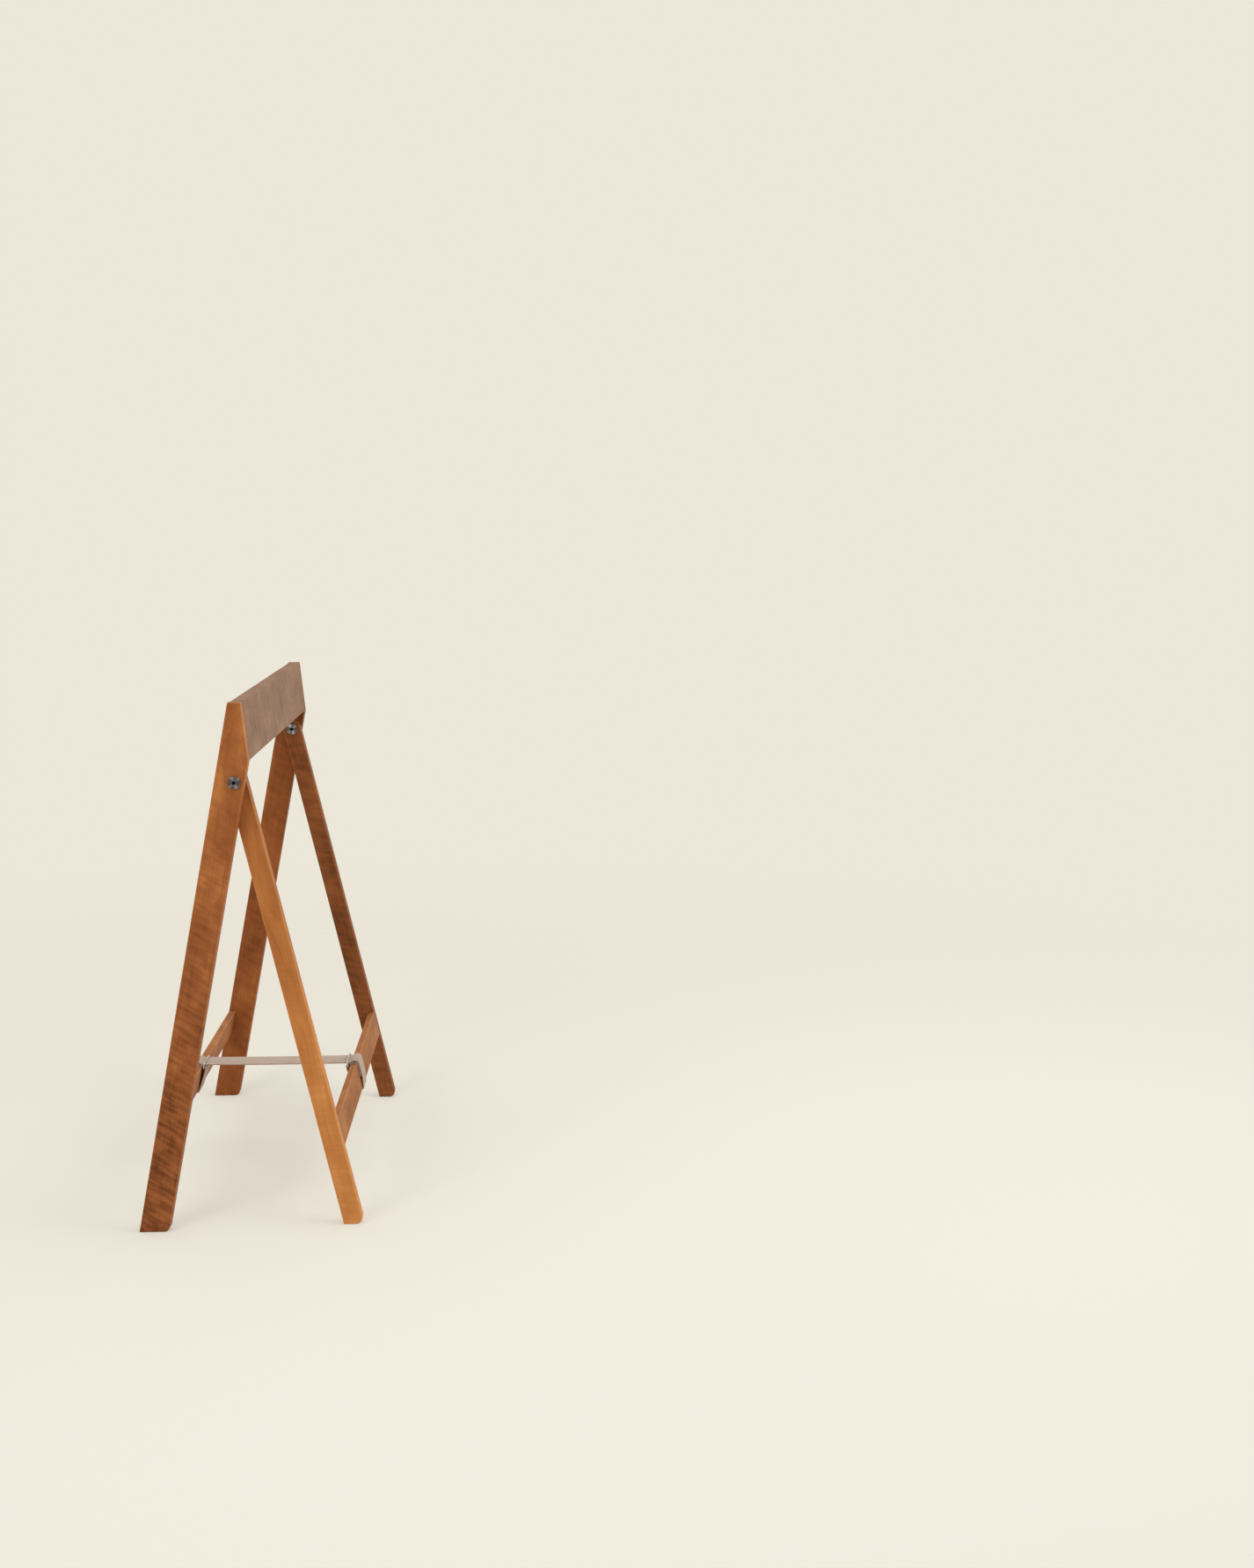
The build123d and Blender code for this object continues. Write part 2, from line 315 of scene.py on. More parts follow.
def pore_flecks(finish, x, y, z, seed):
    """Short dark pores: the peaks of a fine noise, about ten times longer than wide."""
    flecks = finish.noise(finish.vector(x * 4.5, y * 4.5, z * 0.42 + seed), 1.0)
    return flecks.ramp(0.62, 0.74)


def ripples(finish, x, y, z, seed, slant, ripple):
    """Curly figure: noise five times longer along a line that falls by slant than square to it.
    The square distance sways a little, so that the bands aren't quite parallel."""
    fall = np.radians(slant)
    sway = finish.noise(finish.vector(x * 0.008, y * 0.008, z * 0.008 + seed), 1.0)
    square = x * np.sin(fall) + z * np.cos(fall) + (sway - 0.5) * ripple_sway
    down = x * np.cos(fall) - z * np.sin(fall)
    place = finish.vector(down * (0.2 / ripple), y * 0.03 + seed, square * (1 / ripple))
    return finish.noise(place, 2.0, 0.45).ramp(0.3, 0.7)


print(f"growth rings are {1 / rings_per_mm:.1f} mm apart")

# %% [markdown]
# ## Mixing the tones
# Each pattern is a number between 0 and 1 with its middle at a half. The tone adds them up, each by
# its own share, and then picks a colour between dark, middle and light. The corners are paler,
# partly stain rubbed thin and partly a painted highlight along the arrises, and a painted shade can
# darken a board towards one end. A satin varnish lies over it all. So two boards differ only in
# their shares and their colours, which are the arguments of one function.


# %% Wood
def wood(node, name, along, across, through, tones, seed, figure, slant=20, ripple=6.0, foot=0.0,
         fibres=0.55, pores=0.25, wear_and_highlight=0.5, edge=1.8, rough=0.48, shine=0.1, coat=0.04, shade_slope=0.0):
    """A board's finish. The tones are dark, middle and light. figure is how strong the ripples are,
    slant their fall in degrees, ripple their width in mm, and foot how much they grow downwards.
    fibres and pores are how much those show, and wear_and_highlight how pale the corners are: stain
    rubbed thin and a painted highlight along the arrises. rough, shine and coat belong to the
    varnish.
    shade_slope is a painted shade along the board: above 0 it darkens the foot, below 0 the top."""
    finish = Finish(name, coat_roughness=0.25, coat_ior=1.5, ior=1.5, specular_ior_level=shine)
    (x, y, z), (half_x, half_y, half_z) = board_places(finish, node, along, across, through)
    late = late_wood(finish, x, y, z, seed)
    pore = pore_flecks(finish, x, y, z, seed)
    wave = ripples(finish, x, y, z, seed, slant, ripple)
    fibre = finish.noise(finish.vector(x * 3.2 + seed, y * 3.2, z * 0.045), 4.0, 0.62)
    streak = finish.noise(finish.vector(x * 0.7, y * 0.7 + seed, z * 0.012), 3.0, 0.55)
    patch = finish.noise(finish.vector(x * 0.03, y * 0.03 + seed, z * 0.012), 2.0)

    grown = 1.0 + foot * z.ramp(-half_z, half_z, 1.0, -0.5) if foot else 1.0
    # Painted shade along the board: a positive slope darkens the foot, a negative one the top.
    painted_shade = (z.ramp(-half_z, half_z, 1.0, 0.0) - 0.5) * shade_slope
    tone = (0.5 + (fibre - 0.5) * fibres + (streak - 0.5) * fibres * 0.8 + (patch - 0.5) * 0.85
            + (wave - 0.5) * figure * grown - late * 0.1 - painted_shade)
    dark, middle, light = tones
    low = finish.mix(tone.ramp(0.0, 0.55), dark, middle)
    colour = finish.mix(tone.ramp(0.45, 1.0), low, light)
    colour = finish.mix(pore * pores, colour, dark)

    side_gap = half_x - abs(x)
    face_gap = half_y - abs(y)
    corner = side_gap.ramp(0.0, edge, 1.0, 0.0) * face_gap.ramp(0.0, edge, 1.0, 0.0)
    # Paler corners: partly stain rubbed thin, partly a painted highlight along the arrises.
    edge_wear_and_highlight = corner * (0.35 + streak * 0.9) * wear_and_highlight
    colour = finish.mix(edge_wear_and_highlight, colour, light)

    grain = fibre * 0.6 + wave * figure * 0.35 - pore * 0.7
    matt = rough + (fibre - 0.5) * 0.18 + pore * 0.12
    relief = finish.bump(grain, 0.25, 0.12 * MM)
    return finish.end(base_color=colour, roughness=matt, coat_weight=coat, normal=relief)


def dress(node, material):
    """Gives every material slot of a carried-over board or fitting one finish."""
    for place in nodes[node].material_slots:
        place.material = material
    print(f"{node}: {material.name}, {len(material.node_tree.nodes)} nodes")


# %% [markdown]
# ## Legs
# The four legs are cut from one kind of board, but no two boards are alike. The near outer leg is
# the reddest, with ripples that grow towards its foot. The near inner leg is a lighter orange with
# straighter grain, and the two far legs are the darkest: partly their own boards, partly painted
# shade, as under a table top. Along some legs a painted shade also darkens the foot or the top.

# %% Leg finishes
deep_red = (paint(0.41, 0.22, 0.11), paint(0.605, 0.355, 0.19), paint(0.79, 0.51, 0.285))
honey = (paint(0.56, 0.32, 0.155), paint(0.74, 0.47, 0.25), paint(0.87, 0.60, 0.34))
# The two far legs: their own boards' tones, made darker by painted shade.
umber = (paint(0.36, 0.19, 0.09), paint(0.55, 0.31, 0.155), paint(0.68, 0.42, 0.22))
honey_in_shade = (paint(0.33, 0.18, 0.09), paint(0.505, 0.29, 0.15), paint(0.64, 0.40, 0.22))

dress("outer_leg_front", wood("outer_leg_front", "birch_red", outer_up, outer_across, level,
                              deep_red, 3.1, figure=0.17, slant=21, foot=1.2, fibres=0.35,
                              shade_slope=0.35))
dress("outer_leg_rear", wood("outer_leg_rear", "birch_umber", outer_up, outer_across, level,
                             umber, 11.7, figure=0.14, slant=22, fibres=0.4, shade_slope=-0.1))
dress("inner_leg_front", wood("inner_leg_front", "birch_honey", inner_up, inner_across, level,
                              honey, 7.4, figure=0.04, slant=16, foot=1.2, fibres=0.35,
                              shade_slope=-0.4))
dress("inner_leg_rear", wood("inner_leg_rear", "birch_dark_honey", inner_up, inner_across, level,
                             honey_in_shade, 5.9, figure=0.2, slant=24, fibres=0.4))

# %% [markdown]
# ## Beam and stretchers
# These boards run level, so their grain follows Y. The beam is more matt than the legs, with broad,
# soft ripples that stand nearly upright, and its greyer tone is birch with painted shade and a
# painted reflection of the pale room. The stretchers are paler and a little pink, and their varnish
# is thin.

# %% Beam and stretcher finishes
# The beam's tones: birch dimmed by painted shade and greyed by a painted reflection of the pale
# room.
beam_shade_and_sheen = (paint(0.42, 0.31, 0.25), paint(0.54, 0.405, 0.325), paint(0.67, 0.52, 0.425))
rosy = (paint(0.48, 0.30, 0.185), paint(0.63, 0.415, 0.26), paint(0.80, 0.57, 0.385))

dress("top_beam", wood("top_beam", "walnut_grey", level, beam_up, beam_through, beam_shade_and_sheen, 2.3,
                       figure=0.2, slant=8, ripple=13.0, fibres=0.45, pores=0.15, wear_and_highlight=0.6,
                       rough=0.6, shine=0.12, coat=0.03))
for node, name, up, through, seed in (
        ("outer_stretcher", "birch_rosy", outer_up, outer_across, 8.6),
        ("inner_stretcher", "birch_rosy_inner", inner_up, inner_across, 14.2)):
    dress(node, wood(node, name, level, up, through, rosy, seed, figure=0.12, wear_and_highlight=0.9, edge=1.5,
                     rough=0.6, shine=0.05, coat=0.0))

# %% [markdown]
# ## Dowels and washers
# The dowels are bare beech with pressed flutes, and they are inside the joints. Their grain runs
# along Y too. The flutes are a wave across each pin, which bump shows well enough on a piece that
# is seen only when the joint is apart. The washers are zinc plated, with a faint bloom.


# %% Dowel and washer finishes
def dowel_finish(node, seed):
    """Bare beech, with fibres along Y and short flecks. The flutes are a sine of x."""
    finish = Finish("beech_" + node, ior=1.5)
    (x, y, z), _ = board_places(finish, node, level, np.array([1, 0, 0]), np.array([0, 0, 1]))
    fibre = finish.noise(finish.vector(x * 2.5 + seed, y * 2.5, z * 0.08), 3.0, 0.6)
    fleck = finish.noise(finish.vector(x * 3.0, y * 3.0 + seed, z * 0.6), 1.0).ramp(0.6, 0.72)
    colour = finish.mix(fibre.ramp(0.25, 0.75), paint(0.72, 0.54, 0.36), paint(0.86, 0.70, 0.51))
    colour = finish.mix(fleck * 0.5, colour, paint(0.55, 0.37, 0.22))
    flute = finish.bump((x * 4.0).sine() * 0.5 + fibre, 0.5, 0.15 * MM)
    return finish.end(base_color=colour, roughness=0.6 + fibre * 0.2, normal=flute)


def scaled_spot(finish, scale):
    """The place on the piece, times a scale: noise over it has grains of 1 / scale metres."""
    spot = finish.node("TexCoord", {}, {}, output="Object")
    return finish.node("VectorMath", {"operation": "SCALE"}, {0: spot, "Scale": scale})


def plated(name, colour, tint, roughness, hollow=None):
    """Bright plated steel: a little bloom in its colour and finger marks in its gloss. hollow is a
    point on a Y axis round which the metal is unpolished, and painted dark as painted shade in a
    key socket."""
    finish = Finish(name, metallic=1.0)
    bloom = finish.noise(scaled_spot(finish, 220.0), 3.0, 0.6)
    grit = finish.noise(scaled_spot(finish, 2600.0), 2.0)
    shade = finish.mix(bloom.ramp(0.3, 0.7), colour, tint)
    rough = roughness + (bloom - 0.5) * 0.12 + (grit - 0.5) * 0.04
    if hollow:
        spot = finish.node("TexCoord", {}, {}, output="Object")
        flat = finish.node("VectorMath", {"operation": "MULTIPLY"}, {0: spot, 1: (1.0, 0.0, 1.0)})
        ends = {0: flat, 1: (hollow[0], 0.0, hollow[2])}
        away = finish.node("VectorMath", {"operation": "DISTANCE"}, ends, output="Value")
        inside = (away * (1 / MM)).ramp(2.0, 2.3, 1.0, 0.0)
        # Painted shade: inside the key socket the colour goes nearly black.
        shade = finish.mix(inside, shade, paint(0.10, 0.09, 0.09))
        rough = rough + inside * 0.3
    return finish.end(base_color=shade, roughness=rough, normal=finish.bump(grit, 0.03, 0.01 * MM))


for seed, node in enumerate(("beam_dowels", "outer_stretcher_dowels", "inner_stretcher_dowels")):
    dress(node, dowel_finish(node, seed * 3.3))

zinc = plated("zinc_plate", paint(0.70, 0.71, 0.72), paint(0.62, 0.63, 0.66), 0.34)
for node in ("pivot_washer_front", "pivot_washer_rear"):
    dress(node, zinc)

# %% [markdown]
# ## Skins
# Bolts, rings and webbing are all a closed ring of points carried along a path. So one function
# makes all their meshes: rows of points in, and quads between neighbouring rows out. The ends are
# closed with one face each, or the last row joins the first. The volume inside says whether the
# faces point outwards, and if it is negative they are turned round.


# %% From rows of points to a mesh
def grid_quads(index, joined=False):
    """Quads between neighbouring rows of a grid of vertex numbers, which is round in its last axis.
    Grids can be stacked in front: every one gets its own quads."""
    after = np.roll(index, -1, -2) if joined else index[..., 1:, :]
    here = index if joined else index[..., :-1, :]
    quads = np.stack([here, np.roll(here, -1, -1), np.roll(after, -1, -1), after], -1)
    return quads.reshape(-1, 4)


def end_volume(ring):
    """Six times the volume of the fan from a closed ring of points to the origin, by the ring's
    middle: the middle dotted with the cross product of each point and the next, added up."""
    return np.einsum("j,ij->", ring.mean(0), np.cross(ring, np.roll(ring, -1, 0)))


def in_scene(name, points, faces, material, smooth=True):
    """A new object from points in metres and faces. smooth is how many of the first faces are
    shaded smooth, or True for all of them."""
    mesh = bpy.data.meshes.new(name)
    mesh.from_pydata(points.reshape(-1, 3).tolist(), [], faces)
    rounded_faces = len(faces) if smooth is True else smooth
    mesh.polygons.foreach_set("use_smooth", np.arange(len(faces)) < rounded_faces)
    mesh.materials.append(material)
    piece = bpy.data.objects.new(name, mesh)
    bpy.context.scene.collection.objects.link(piece)
    return piece


def skin(name, rows, material, along=None, around=None, joined=False):
    """A closed surface through an array of rows x columns x 3, in metres. along and around are the
    distances that its UV map holds. Six times its volume is the sum, over the corners a, b, c and d
    of each quad, of a dotted with b cross c plus c cross d, and then the fans over both ends."""
    count, columns = rows.shape[:2]
    index = np.arange(count * columns).reshape(count, columns)
    quads = grid_quads(index, joined)
    a, b, c, d = rows.reshape(-1, 3)[quads].transpose(1, 0, 2)
    volume = np.einsum("ij,ij->", a, np.cross(b, c) + np.cross(c, d))
    if not joined:
        volume += end_volume(rows[-1]) - end_volume(rows[0])
    faces = quads if volume > 0 else quads[:, ::-1]
    ends = [] if joined else [index[0][::-1], index[-1]]
    ends = [(end if volume > 0 else end[::-1]).tolist() for end in ends]
    piece = in_scene(name, rows, faces.tolist() + ends, material, smooth=len(faces))
    mesh = piece.data
    if along is not None:
        places = np.stack(np.broadcast_arrays(along[:, None], around[None, :]), -1).reshape(-1, 2)
        corner = np.empty(len(mesh.loops), int)
        mesh.loops.foreach_get("vertex_index", corner)
        mesh.uv_layers.new(name="UVMap").data.foreach_set("uv", places[corner].ravel())
    print(f"{name}: {len(mesh.polygons)} faces, {abs(volume) / 6 / MM ** 3:.0f} cubic mm")
    return piece


# %% [markdown]
# ## Turned bolts and sleeve nuts
# Each pivot is a bolt from outside, screwed into a sleeve nut from inside. Their heads are faced on
# a lathe, and the tool leaves fine rings that catch the light in two bright wedges. A bump map of
# rings would shimmer, so the grooves are real: the profile of the head carries a small wave, and
# turning it round the bolt's axis gives the rings. A ring can also be a hexagon, which makes the
# key socket, and on the thread its radius follows the angle, which makes a helix.

# %% Profile of a head
turning_feed = 0.45
groove_depth = 0.065
socket_half = 1.75
socket_deep = 2.0
head_corner = 0.6
thread_pitch = 1.0
columns_round = 96
face_start = 2.9
centre_radius = 0.05


def head_profile(radius, height):
    """Radius and height in mm, from the middle of the socket to the rim of the head's underside.
    The first rows are the socket, whose floor is drilled to a shallow cone. The face dips by half
    of one minus the cosine of the feed angle, and the rim is a quarter circle."""
    socket = [(centre_radius, height - socket_deep - 0.35), (1.3, height - socket_deep),
              (socket_half, height - socket_deep), (socket_half, height - 0.3),
              (socket_half, height - 0.12), (socket_half + 0.45, height - 0.02)]
    radii = np.arange(face_start, radius - head_corner, turning_feed / 6)
    wave = 0.5 - 0.5 * np.cos(2 * np.pi * (radii - face_start) / turning_feed)
    face = np.column_stack([radii, height - groove_depth * wave])
    turns = np.linspace(0, np.pi / 2, 7)
    inset = radius - head_corner
    rim = np.column_stack([inset + head_corner * np.sin(turns),
                           height - head_corner + head_corner * np.cos(turns)])
    side = [(radius, height * 0.4), (radius, 0.15), (radius - 0.15, 0.0)]
    return np.vstack([socket, face, rim, side])


hexagon_rows = slice(2, 5)


def turned(name, profile, centre, outwards, material, thread):
    """Turns a profile of radius and height about an axis along Y: radius times cosine and sine. The
    rows of the socket's wall are hexagons, whose radius grows by 1 / cosine of the angle from the
    nearest flat. thread is its first row, the row after its last, and its depth: there the radius
    goes in and out once a pitch and once a turn, which is a helix."""
    angle = np.linspace(0, 2 * np.pi, columns_round, endpoint=False)
    radius = np.repeat(profile[:, :1], columns_round, 1)
    from_flat = (angle + np.pi / 6) % (np.pi / 3) - np.pi / 6
    radius[hexagon_rows] /= np.cos(from_flat)
    height = np.repeat(profile[:, 1:], columns_round, 1)
    first, last, deep = thread
    turn_share = (height[first:last] / thread_pitch + angle / (2 * np.pi)) % 1.0
    radius[first:last] -= deep * (1 - np.abs(2 * turn_share - 1))
    x = centre[0] + radius * np.cos(angle) * MM
    z = centre[2] + radius * np.sin(angle) * MM
    y = centre[1] + outwards * height * MM
    return skin(name, np.stack([x, y, z], -1), material)


print(f"the face has a ring every {turning_feed} mm, {groove_depth} mm deep")

# %% [markdown]
# ## Sizes from the plain solids
# The plain bolt and nut already have the right radii and lengths. These are read back from their
# corners, so that the turned pieces fill the same holes.

# %% Radii and lengths
leg_low, _ = reach("outer_leg_front", level)
_, inner_high = reach("inner_leg_front", level)
bolt_low, bolt_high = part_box("pivot_bolt_front")
nut_low, nut_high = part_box("pivot_nut_front")
pivot = (bolt_low + bolt_high) / 2
head_radius = (bolt_high.x - bolt_low.x) / 2 / MM
head_height = (leg_low - bolt_low.y) / MM
shank = corners("pivot_bolt_front")
shank = shank[shank[:, 1] > leg_low + MM]
shank_radius = np.hypot(shank[:, 0] - pivot.x, shank[:, 2] - pivot.z).max() / MM
barrel = corners("pivot_nut_front")
barrel = barrel[barrel[:, 1] < inner_high - MM]
barrel_radius = np.hypot(barrel[:, 0] - pivot.x, barrel[:, 2] - pivot.z).max() / MM
shank_length = (bolt_high.y - leg_low) / MM
nut_face = nut_high.y - head_height * MM
barrel_length = (nut_face - nut_low.y) / MM
print(f"head {2 * head_radius:.1f} x {head_height:.1f} mm")
print(f"shank {2 * shank_radius:.1f} x {shank_length:.1f} mm")
print(f"barrel {2 * barrel_radius:.1f} x {barrel_length:.1f} mm")

# %% [markdown]
# ## Bolts and nuts in place
# The bolt screws into the nut, so the thread on one and the bore in the other are worked out from
# the same pitch. A real thread is cut after turning. Here its rows are a sixth of a pitch apart,
# close enough for the helix to read as one. The bolt's profile ends at its point, and the nut's
# goes back up its blind bore.

# %% Bolts and nuts
thread_length = 12.0
thread_deep = 0.5
bore_depth = 13.0
bore_thread_deep = 0.4
bore_radius = shank_radius + 0.05
bevel = 0.3
nickel = plated("turned_nickel", paint(0.56, 0.53, 0.52), paint(0.46, 0.44, 0.43), 0.2,
                hollow=pivot)
head = head_profile(head_radius, head_height)

plain = [(shank_radius, -0.1), (shank_radius, thread_length - shank_length)]
tip = shank_length - 2 * bevel
threads = np.arange(thread_length - shank_length - 0.2, -tip, -thread_pitch / 6)
threads = np.column_stack([np.full(len(threads), shank_radius), threads])
point = [(shank_radius - 0.55, -shank_length), (centre_radius, -shank_length)]
bolt_profile = np.vstack([head, plain, threads, point])
first_thread = len(head) + len(plain)
bolt_thread = (first_thread, first_thread + len(threads), thread_deep)

barrel_end = [(barrel_radius, -0.1), (barrel_radius, bevel - barrel_length),
              (barrel_radius - bevel, -barrel_length), (bore_radius + bevel, -barrel_length)]
bore = np.arange(bevel - barrel_length, bore_depth - barrel_length, thread_pitch / 6)
bore = np.column_stack([np.full(len(bore), bore_radius), bore])
blind = [(bore_radius - 0.4, bore_depth - barrel_length),
         (centre_radius, bore_depth - barrel_length + 0.8)]
nut_profile = np.vstack([head, barrel_end, bore, blind])
first_bore = len(head) + len(barrel_end)
nut_thread = (first_bore, first_bore + len(bore), bore_thread_deep)

for end, outwards in (("front", -1), ("rear", 1)):
    bolt_seat = (pivot.x, -outwards * leg_low, pivot.z)
    bolt = turned(f"turned_bolt_{end}", bolt_profile, bolt_seat, outwards, nickel, bolt_thread)
    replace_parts(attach(bolt, "outer_frame"), f"pivot_bolt_{end}")
    nut_seat = (pivot.x, -outwards * nut_face, pivot.z)
    nut = turned(f"sleeve_nut_{end}", nut_profile, nut_seat, -outwards, nickel, nut_thread)
    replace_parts(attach(nut, "outer_frame"), f"pivot_nut_{end}")

# %% [markdown]
# ## Paths with round corners
# The rings and the strap both follow straight runs joined by arcs, in a leaning plane. One function
# cuts each corner back by its radius times the tangent of half the turn, swings the radius
# round to the next run, and then spaces the points evenly along the whole path.


# %% Rounded path
arc_points = 25


def spaced(points, step):
    """The same path with its points about a step apart, each found by its distance along it."""
    lengths = np.linalg.norm(np.diff(points, axis=0), axis=1)
    distance = np.concatenate([[0], np.cumsum(lengths)])
    wanted = np.linspace(0, distance[-1], int(distance[-1] / step) + 2)
    return np.column_stack([np.interp(wanted, distance, points[:, k]) for k in (0, 1)]), wanted


def rounded(points, radii, step):
    """Straight runs between the points, with an arc of each radius at the corners between. On an
    arc, a point is the middle plus the arm times cosine plus the arm's quarter turn times sine."""
    points = np.asarray(points, float)
    path = [points[:1]]
    for before, corner, after, radius in zip(points, points[1:], points[2:], radii):
        into = (corner - before) / np.linalg.norm(corner - before)
        onward = (after - corner) / np.linalg.norm(after - corner)
        bend = np.arctan2(into[0] * onward[1] - into[1] * onward[0], into @ onward)
        arm = radius * np.sign(bend) * np.array([into[1], -into[0]])
        middle = corner - into * radius * np.tan(abs(bend) / 2) - arm
        swing = bend * np.linspace(0, 1, arc_points)[:, None]
        path.append(middle + np.cos(swing) * arm + np.sin(swing) * np.array([-arm[1], arm[0]]))
    path.append(points[-1:])
    return spaced(np.vstack(path), step)


print("an arc has", arc_points, "points before the path is spaced")

# %% [markdown]
# ## A stretcher's own plane
# The strap wraps a stretcher, so its path is drawn from the stretcher's upper inside edge: x goes
# outwards through the board and y goes up it. The ring stands in that plane too, just inside the
# board.


# %% Rails
class Rail:
    """The plane across one stretcher, and what the strap and the ring need to know about it."""

    def __init__(self, side, up, outward):
        self.up, self.outward = up, outward
        inside, outside = reach(f"{side}_stretcher", outward)
        bottom, top = reach(f"{side}_stretcher", up)
        self.edge = inside * outward + top * up
        self.wall = (outside - inside) / MM
        self.deep = (top - bottom) / MM
        ring_in, ring_out = reach(f"strap_ring_{side}", outward)
        ring_low, ring_high = reach(f"strap_ring_{side}", up)
        self.wire = (ring_out - ring_in) / 2 / MM
        self.ring_x = ((ring_in + ring_out) / 2 - inside) / MM
        self.ring_low = (ring_low - top) / MM + self.wire
        self.ring_high = (ring_high - top) / MM - self.wire

    def local(self, place):
        """x and y in mm of a point of the room."""
        away = (np.asarray(place, float) - self.edge) / MM
        return away @ self.outward, away @ self.up

    def room(self, path):
        """Points of the room for rows of x and y in mm."""
        return self.edge + (path[..., :1] * self.outward + path[..., 1:2] * self.up) * MM


rails = {"outer": Rail("outer", outer_up, -outer_across),
         "inner": Rail("inner", inner_up, inner_across)}
for side, rail in rails.items():
    print(f"{side} stretcher {rail.wall:.1f} x {rail.deep:.1f} mm, ring at {rail.ring_x:.2f} mm")

# %% [markdown]
# ## Wire rings
# Each strap end is held by a ring of polished wire, bent to a rectangle and butt welded. A round
# section is carried along the closed path. The weld is a slight swelling at the middle of the lower
# wire.

# %% Rings
ring_corner = 3.0
ring_step = 0.7
ring_columns = 20
weld_swell = 0.05
weld_width = 1.6
wire_finish = plated("polished_wire", paint(0.84, 0.82, 0.80), paint(0.72, 0.70, 0.68), 0.1)


def ring(side, rail):
    """A round section round a rectangle: radius times cosine along the path's own normal, and
    radius times sine square to the ring. The weld's swelling is a bell curve of the distance."""
    _, half_wide = reach(f"strap_ring_{side}", level)
    half_wide = half_wide / MM - rail.wire
    low, high = rail.ring_low, rail.ring_high
    outline = [(0, low), (half_wide, low), (half_wide, high), (-half_wide, high),
               (-half_wide, low), (0, low)]
    path, distance = rounded(outline, [ring_corner] * 4, ring_step)
    path, distance = path[:-1], distance[:-1]
    ahead = np.roll(path, -1, 0) - np.roll(path, 1, 0)
    ahead /= np.linalg.norm(ahead, axis=1)[:, None]
    angle = np.linspace(0, 2 * np.pi, ring_columns, endpoint=False)
    from_weld = np.minimum(distance, distance[-1] - distance)
    radius = rail.wire * (1 - weld_swell + weld_swell * np.exp(-((from_weld / weld_width) ** 2)))
    wide = path[:, :1] + radius[:, None] * np.cos(angle) * ahead[:, 1:]
    tall = path[:, 1:] - radius[:, None] * np.cos(angle) * ahead[:, :1]
    thick = rail.ring_x + radius[:, None] * np.sin(angle)
    rows = rail.edge + (wide[..., None] * level + tall[..., None] * rail.up
                        + thick[..., None] * rail.outward) * MM
    return skin(f"wire_ring_{side}", rows, wire_finish, joined=True)


for side, rail in rails.items():
    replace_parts(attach(ring(side, rail), f"{side}_frame"), f"strap_ring_{side}")

# %% [markdown]
# ## Webbing
# The strap is cotton webbing, 40 mm wide: ribs of warp run along it and the weft crosses them, over
# and under. At this size the threads are bump and colour, laid out by the strap's own UV map, which
# holds distances in metres along and across it, so that the weave keeps its size round every bend.
# Heathered yarn gives long pale and dark flecks, and a little soil gathers in slow patches.

# %% Webbing finish
rib_mm = 1.15
pick_mm = 0.9


def webbing():
    """Plain weave: along each rib the warp rises and dips like a sine, half a wave out of step
    with its neighbours, and the weft shows where the warp dips."""
    finish = Finish("cotton_webbing", sheen_weight=0.35, sheen_roughness=0.5, ior=1.45)
    map_place = finish.node("TexCoord", {}, {}, output="UV")
    split = finish.node("SeparateXYZ", {}, {0: map_place})
    along = split * (1 / MM)
    across = split.other("Y") * (1 / MM)
    rib = across / rib_mm
    pick = along / pick_mm
    rib_round = 1.0 - abs((rib % 1.0) * 2.0 - 1.0) ** 2.0
    pick_round = 1.0 - abs((pick % 1.0) * 2.0 - 1.0) ** 2.0
    warp = ((pick + rib.floor()) * np.pi).sine()
    thread = (warp * 0.5 + 0.5) * rib_round
    weft = (0.5 - warp * 0.5) * pick_round
    height = thread.larger(weft)
    heather = finish.noise(finish.vector(along * 0.4, across * 1.1, 0.0), 4.0, 0.65)
    yarn = finish.noise(finish.vector(along * 1.1, across * 1.9, 4.0), 2.0, 0.6)
    soil = finish.noise(finish.vector(along * 0.03, across * 0.05, 9.0), 3.0)
    pale = paint(0.775, 0.68, 0.62)
    middle = paint(0.675, 0.575, 0.515)
    deep = paint(0.51, 0.415, 0.365)
    colour = finish.mix(heather.ramp(0.3, 0.72), middle, pale)
    colour = finish.mix(yarn.ramp(0.55, 0.8) * 0.45, colour, deep)
    # Painted shade in the hollows between the threads, where the weave is low.
    colour = finish.mix((1.0 - height) * 0.4, colour, deep)
    colour = finish.mix(soil.ramp(0.4, 0.7) * 0.3, colour, deep)
    relief = finish.bump(height + heather * 0.25, 0.7, 0.22 * MM)
    return finish.end(base_color=colour, roughness=0.88 - heather * 0.1, normal=relief)


cotton = webbing()
print(f"{cotton.name}: {len(cotton.node_tree.nodes)} nodes, a rib every {rib_mm} mm")

# %% [markdown]
# ## The band
# A band's section is a flat bar with round edges, a touch thicker at its woven edges. It is
# carried along a path that lies in the XZ plane: across the strap is always Y, and through it is
# square to the path. The edges wander by about a fifth of a millimetre, as woven edges do.

# %% Band
run_low, run_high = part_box("strap_run_outer")
strap_thick = (run_high.z - run_low.z) / MM
strap_wide = (run_high.y - run_low.y) / MM
strap_level = (run_low.z + run_high.z) / 2
edge_wander = 0.22
edge_zone = 2.5
thin_share = 0.86
flat_points = 27
edge_points = 7
print(f"strap is {strap_wide:.1f} x {strap_thick:.1f} mm, {strap_level / MM:.1f} mm up")


